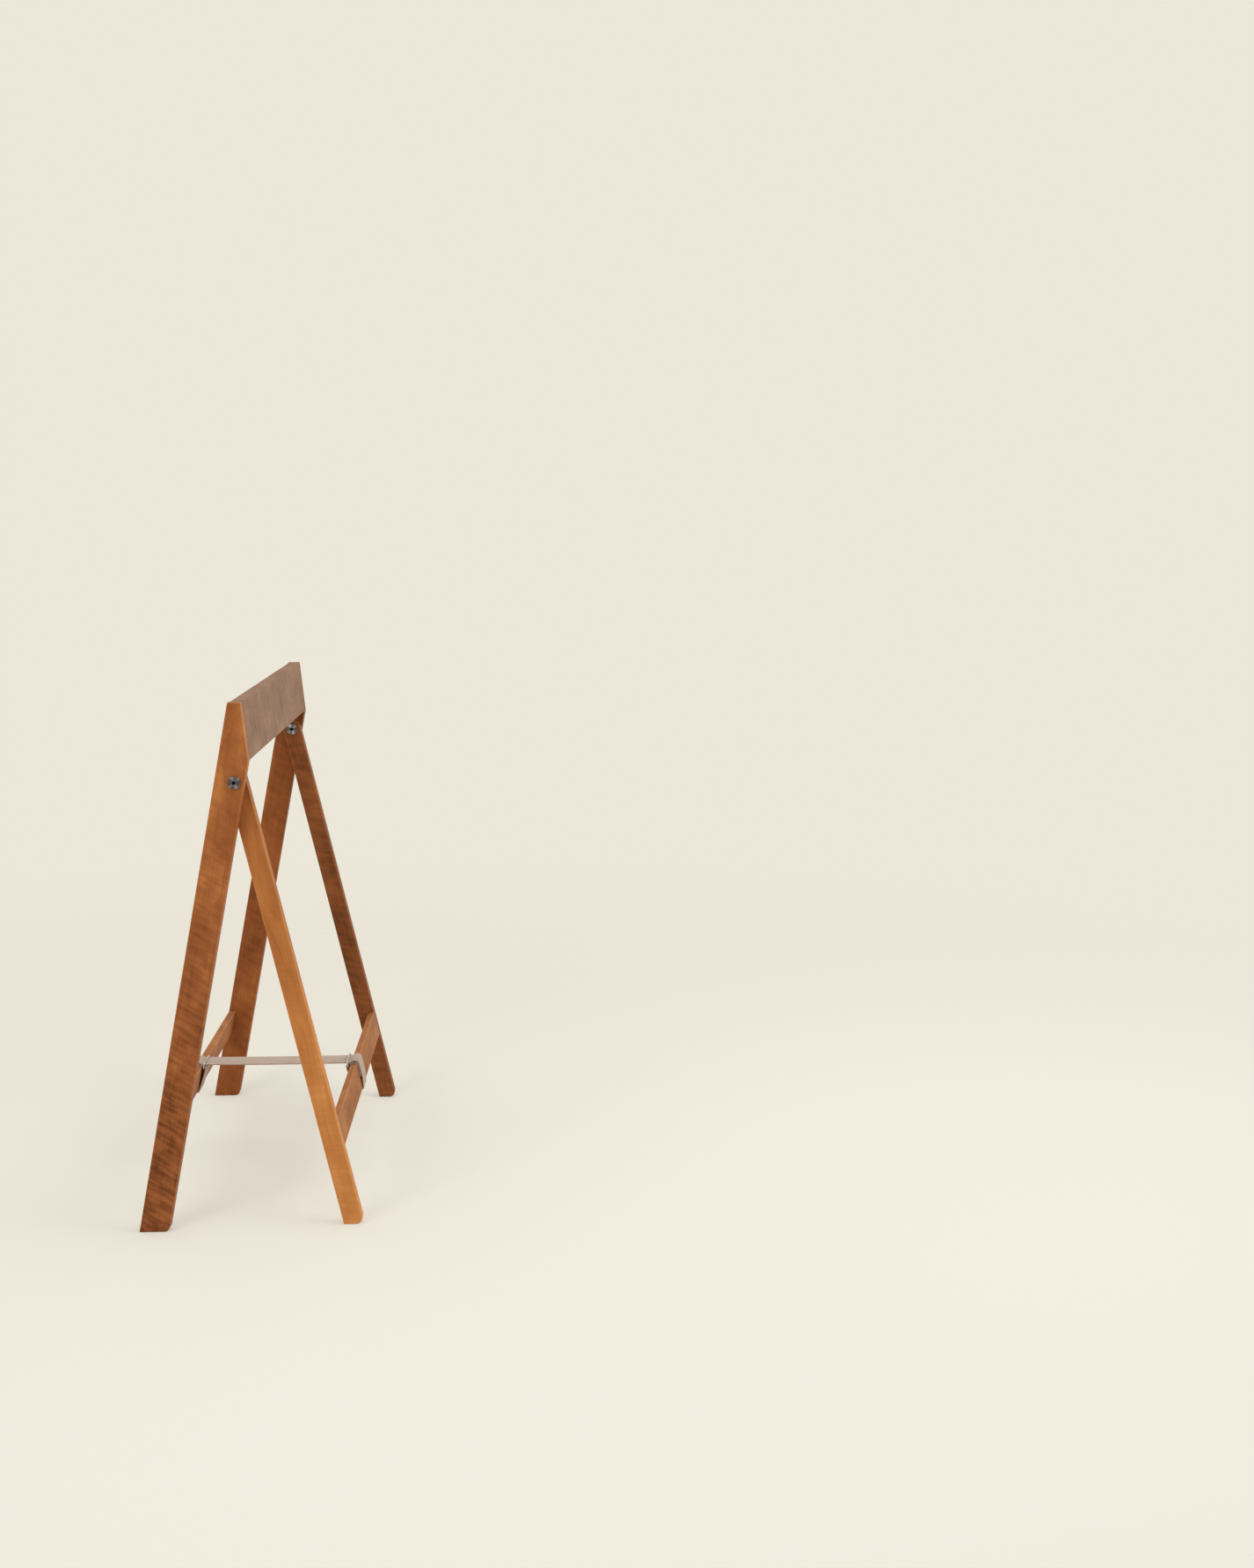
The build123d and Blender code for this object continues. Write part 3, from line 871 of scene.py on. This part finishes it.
def band_section():
    """Across and through, in mm: along the top, round an edge, back along the bottom and round. The
    half thickness grows with the square of the distance into the edge zone."""
    half, round_half = strap_thick / 2, strap_wide / 2 - strap_thick / 2
    flat = np.linspace(-round_half, round_half, flat_points)
    flat = np.sign(flat) * round_half * (1 - (1 - np.abs(flat) / round_half) ** 1.5)
    into_edge = np.clip((np.abs(flat) - round_half + edge_zone) / edge_zone, 0, 1)
    thin = thin_share + (1 - thin_share) * into_edge ** 2
    turn = np.linspace(0, np.pi, edge_points + 2)[1:-1]
    top = np.column_stack([flat, half * thin])
    right = np.column_stack([round_half + half * np.sin(turn), half * np.cos(turn)])
    return np.vstack([top, right, -top, -right])


def band(name, path, distance):
    """Carries the section along a path of points in the room. The path's normal in the XZ plane is
    its direction turned a quarter, and distance is what the weave counts along. The width wanders
    by the sum of two sines of that distance."""
    section = band_section()
    ahead = np.gradient(path, axis=0)
    ahead /= np.linalg.norm(ahead, axis=1)[:, None]
    normal = np.column_stack([-ahead[:, 2], np.zeros(len(path)), ahead[:, 0]])
    slow, quick = np.sin(distance / MM * 0.31), np.sin(distance / MM * 0.83 + 1.7)
    wander = edge_wander * (slow + 0.6 * quick) / 1.6
    squeeze = 1 - edge_wander / (strap_wide / 2) + wander / (strap_wide / 2)
    across = section[None, :, 0] * squeeze[:, None] * MM
    rows = path[:, None] + across[..., None] * level + normal[:, None] * section[None, :, 1:] * MM
    step = np.linalg.norm(np.diff(section, axis=0), axis=1)
    around = np.concatenate([[0], np.cumsum(step)]) * MM
    return skin(name, rows, cotton, along=distance, around=around)


# %% [markdown]
# ## Loops round the stretchers
# Each end of the strap goes through its ring, over the stretcher, down its outer face, under it,
# up the inner face, round the ring's lower wire and back over the top, where its tail is sewn
# under the outer layer. The route is a few points in the rail's plane: two layers lie over the top,
# where the stiff outer one arches a little, and one layer lies everywhere else.

# %% Loops
layer_gap = 0.15
rail_edge = 1.5
tail = 20.0
loop_crown = 1.6
wire_gap = 0.7
strap_step = 0.45
under = layer_gap + strap_thick / 2
over = under + strap_thick + layer_gap
hinge_outer = np.array(joints["strap_drop"]["pos_m"])
hinge_middle = np.array(joints["strap_fold"]["pos_m"])
run_start = hinge_outer[0]
run_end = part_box("strap_run_inner")[1].x + layer_gap * MM
bend_reach = 2.6 * MM
bend_start = run_start - bend_reach


def loop_path(rail, run_x):
    """The loop's route, from the run's end round the stretcher to the tail."""
    start = rail.local((run_x, 0, strap_level))
    curl = rail.wire + wire_gap + strap_thick / 2
    lip = rail.ring_x - curl
    foot = -rail.deep - under
    crown = over + loop_crown
    one_layer, two_layers = rail.wall + under, rail.wall + over
    route = [start, (rail_edge, over), (rail.wall / 2, crown), (two_layers, crown),
             (two_layers, -tail - strap_thick), (one_layer, strap_thick - rail.deep),
             (one_layer, foot), (-under, foot), (lip, rail.ring_low - 2 * curl + under),
             (lip, under), (one_layer, under), (one_layer, -tail)]
    tight = rail_edge + under
    bends = [6, 8, 6, 10, 10, tight, tight, 10, curl, tight]
    path, distance = rounded(route, bends, strap_step)
    return rail.room(path), distance * MM


for side, run_x, towards in (("outer", bend_start, -1), ("inner", run_end, 1)):
    path, distance = loop_path(rails[side], run_x)
    loop = band(f"webbing_loop_{side}", path, run_x + towards * distance)
    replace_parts(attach(loop, f"{side}_frame"), f"strap_loop_{side}")
    print(f"{side} loop is {distance[-1] / MM:.0f} mm long")

# %% [markdown]
# ## The run between the rings
# The strap hangs nearly level, with a small sag. When the legs close it folds at its middle and
# both halves hang down, so it is made in three pieces that meet on straight stretches. The first
# spans the outer ring's hinge and the middle one the fold, each between its two bodies, and both
# stay fixed in place here. The last one rides the inner half, and ends in a short curl about its
# ring's axis. The curl is hidden between the loop's layers while the strap is straight, and closes
# the bend when the strap folds.

# %% Run
run_sag = 0.6
run_bend = strap_level - hinge_outer[2]
curl_turn = np.radians(100)


def run_path(start, stop):
    """Points along the run: the sag is a parabola that is zero at both rings."""
    x = np.linspace(start, stop, int((stop - start) / (strap_step * MM)) + 2)
    middle, half = (run_start + run_end) / 2, (run_end - run_start) / 2
    sag = run_sag * MM * np.clip(1 - ((x - middle) / half) ** 2, 0, 1)
    return np.column_stack([x, np.zeros(len(x)), strap_level - sag])


outer_quarter = (run_start + hinge_middle[0]) / 2
inner_quarter = (hinge_middle[0] + run_end) / 2

path = run_path(bend_start, outer_quarter)
outer_run = band("webbing_run_outer", path, path[:, 0])
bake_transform(outer_run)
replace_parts(outer_run, "strap_run_outer")

path = run_path(outer_quarter, inner_quarter)
middle_run = band("webbing_run_middle", path, path[:, 0])
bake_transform(middle_run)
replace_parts(middle_run, "strap_run_outer", "strap_run_inner")

straight = run_path(inner_quarter, run_end)
swing = np.linspace(0, curl_turn, 24)[1:]
curl = np.column_stack([run_end + run_bend * np.sin(swing), 0 * swing,
                        strap_level - run_bend + run_bend * np.cos(swing)])
path = np.vstack([straight, curl])
distance = np.concatenate([straight[:, 0], run_end + run_bend * swing])
inner_run = band("webbing_run_inner", path, distance)
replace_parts(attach(inner_run, "strap_inner_half"), "strap_run_inner")
print(f"run is {(run_end - run_start) / MM:.0f} mm long")

# %% [markdown]
# ## Stitches
# The tail is sewn to the layer over it with a box of stitches on the stretcher's outer face. A
# stitch is a short bar with pulled-in ends, half sunk in the webbing. One stitch is worked out as a
# grid and copied to every place on the box as one array, turned to follow the seam.

# %% Stitches
stitch_long = 2.7
stitch_gap = 0.8
stitch_radius = 0.33
stitch_rows = 9
stitch_columns = 8
stitch_proud = 0.1
box_half_wide = 15.5
box_top, box_bottom = -4.5, -15.5
box_corner = 0.8
seam_step = 0.1


def thread_finish():
    """Twisted sewing thread, a shade paler than the webbing."""
    finish = Finish("sewing_thread", sheen_weight=0.2, ior=1.45)
    twist = finish.noise(scaled_spot(finish, 2400.0), 2.0, 0.6, 0.5)
    colour = finish.mix(twist.ramp(0.3, 0.7), paint(0.70, 0.62, 0.54), paint(0.88, 0.82, 0.75))
    return finish.end(base_color=colour, roughness=0.7 + twist * 0.15,
                      normal=finish.bump(twist, 0.5, 0.05 * MM))


sewing = thread_finish()


def stitches(side, rail):
    """A closed seam of stitches. Along a stitch its radius follows the fourth root of a parabola,
    so that it is even in the middle and pulled in at both ends. Where the rail's directions are
    left-handed, the section goes round the other way and still faces outwards."""
    seam = [(0, box_top), (box_half_wide, box_top), (box_half_wide, box_bottom),
            (-box_half_wide, box_bottom), (-box_half_wide, box_top), (0, box_top)]
    line, distance = rounded(seam, [box_corner] * 4, seam_step)
    count = int(distance[-1] / (stitch_long + stitch_gap))
    middles = (np.arange(count) + 0.5) * distance[-1] / count
    onward = middles + 2 * seam_step
    place = np.column_stack([np.interp(middles, distance, line[:, k]) for k in (0, 1)])
    ahead = np.column_stack([np.interp(onward, distance, line[:, k]) for k in (0, 1)]) - place
    ahead /= np.linalg.norm(ahead, axis=1)[:, None]
    along = np.linspace(-1, 1, stitch_rows)
    angle = np.linspace(0, 2 * np.pi, stitch_columns, endpoint=False)
    radius = stitch_radius * np.maximum(1 - along ** 2, 0.02) ** 0.25
    run = np.repeat(along[:, None] * stitch_long / 2, stitch_columns, 1)
    aside = radius[:, None] * np.cos(angle)
    handed = np.sign(np.cross(level, rail.up) @ rail.outward)
    lift = radius[:, None] * np.sin(angle) * handed
    wide = place[:, 0, None, None] + ahead[:, 0, None, None] * run - ahead[:, 1, None, None] * aside
    tall = place[:, 1, None, None] + ahead[:, 1, None, None] * run + ahead[:, 0, None, None] * aside
    proud = rail.wall + over + strap_thick / 2 * thin_share + stitch_proud + lift + 0 * wide
    spots = rail.edge + (wide[..., None] * level + tall[..., None] * rail.up
                         + proud[..., None] * rail.outward) * MM
    index = np.arange(spots[..., 0].size).reshape(count, stitch_rows, stitch_columns)
    faces = grid_quads(index).tolist() + index[:, 0, ::-1].tolist() + index[:, -1].tolist()
    piece = in_scene(f"sewn_box_{side}", spots, faces, sewing)
    print(f"{piece.name}: {count} stitches")
    return piece


for side, rail in rails.items():
    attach(stitches(side, rail), f"{side}_frame")

# %% [markdown]
# ## Floor and room
# The trestle stands in an even, pale room. The floor is a wide disc that fades into the background
# before its edge, so there is no horizon. It is never quite solid, which keeps the shadows light.

# %% Floor and background
room_colour = paint(0.925, 0.905, 0.851)
floor_radius = 7.0
floor_gap = 0.0004
floor_rings = 24
floor_spokes = 96
fade_start, fade_end = 0.6, 2.6
floor_cover = 0.6


def floor_finish():
    """Matt paint that fades to nothing between two distances from the middle."""
    finish = Finish("floor_paint", roughness=0.95, specular_ior_level=0.0)
    spot = finish.node("TexCoord", {}, {}, output="Object")
    away = finish.node("VectorMath", {"operation": "LENGTH"}, {0: spot}, output="Value")
    speck = finish.noise(spot, 3.0)
    colour = finish.mix(speck * 0.06, paint(0.91, 0.905, 0.89), paint(0.855, 0.85, 0.835))
    return finish.end(base_color=colour, alpha=away.ramp(fade_start, fade_end, floor_cover, 0.0))


def floor_disc():
    """A disc of rings and spokes on the floor: radius times cosine and sine."""
    radius = np.linspace(0.02, floor_radius, floor_rings)[:, None]
    angle = np.linspace(0, 2 * np.pi, floor_spokes, endpoint=False)
    x, y = radius * np.cos(angle), radius * np.sin(angle)
    index = np.arange(x.size).reshape(x.shape)
    faces = grid_quads(index)[:, ::-1].tolist() + [index[0].tolist()]
    return in_scene("floor", np.stack([x, y, 0 * x - floor_gap], -1), faces, floor_finish())


floor_disc()
print("floor fades out between", fade_start, "and", fade_end, "m")

world = bpy.data.worlds.new("pale_room")
world.use_nodes = True
backdrop = world.node_tree.nodes["Background"]
backdrop.inputs["Color"].default_value = room_colour
backdrop.inputs["Strength"].default_value = 1.0
bpy.context.scene.world = world
bpy.context.scene.view_settings.view_transform = "Standard"


# %% [markdown]
# ## Lights
# Even light is what a product studio gives: a large soft box in front on the left, one on the right
# that lights the boards' sides, and a small low one whose reflection draws the bright wedges on the
# turned heads. Varnish mirrors a pale room as a milky haze, so a black card stands behind the
# camera and keeps the colours deep.


# %% Lights
def soft_box(name, place, target, width, power):
    """A square light at a place, turned to face its target."""
    lamp = bpy.data.lights.new(name, "AREA")
    lamp.shape = "RECTANGLE"
    lamp.size = width
    lamp.size_y = width
    lamp.energy = power
    stand = bpy.data.objects.new(name, lamp)
    stand.location = place
    stand.rotation_euler = (Vector(target) - Vector(place)).to_track_quat("-Z", "Y").to_euler()
    bpy.context.scene.collection.objects.link(stand)
    print(f"{name}: {power} W, {width} m wide")


def dark_flag():
    """A black card on the camera's side of the room. The camera doesn't see it, but varnish and
    steel mirror it, so faces that look that way stay deep in colour."""
    half, tall, y = 4.0, 2.4, -3.6
    card = np.array([(-half, y, 0.0), (half, y, 0.0), (half, y, tall), (-half, y, tall)])
    cloth = Finish("black_cloth", base_color=paint(0.08, 0.08, 0.08), roughness=1.0).material
    flag = in_scene("dark_flag", card, [(0, 1, 2, 3)], cloth)
    flag.visible_camera = False


dark_flag()
trestle_middle = (0, 0, 0.35)
soft_box("front_light", (-1.6, -3.2, 2.6), trestle_middle, 1.8, 52)
soft_box("low_light", (1.2, -3.2, 1.75), (0, -0.3, 0.5), 0.7, 9)
soft_box("side_light", (2.3, -0.5, 2.1), trestle_middle, 1.8, 25)
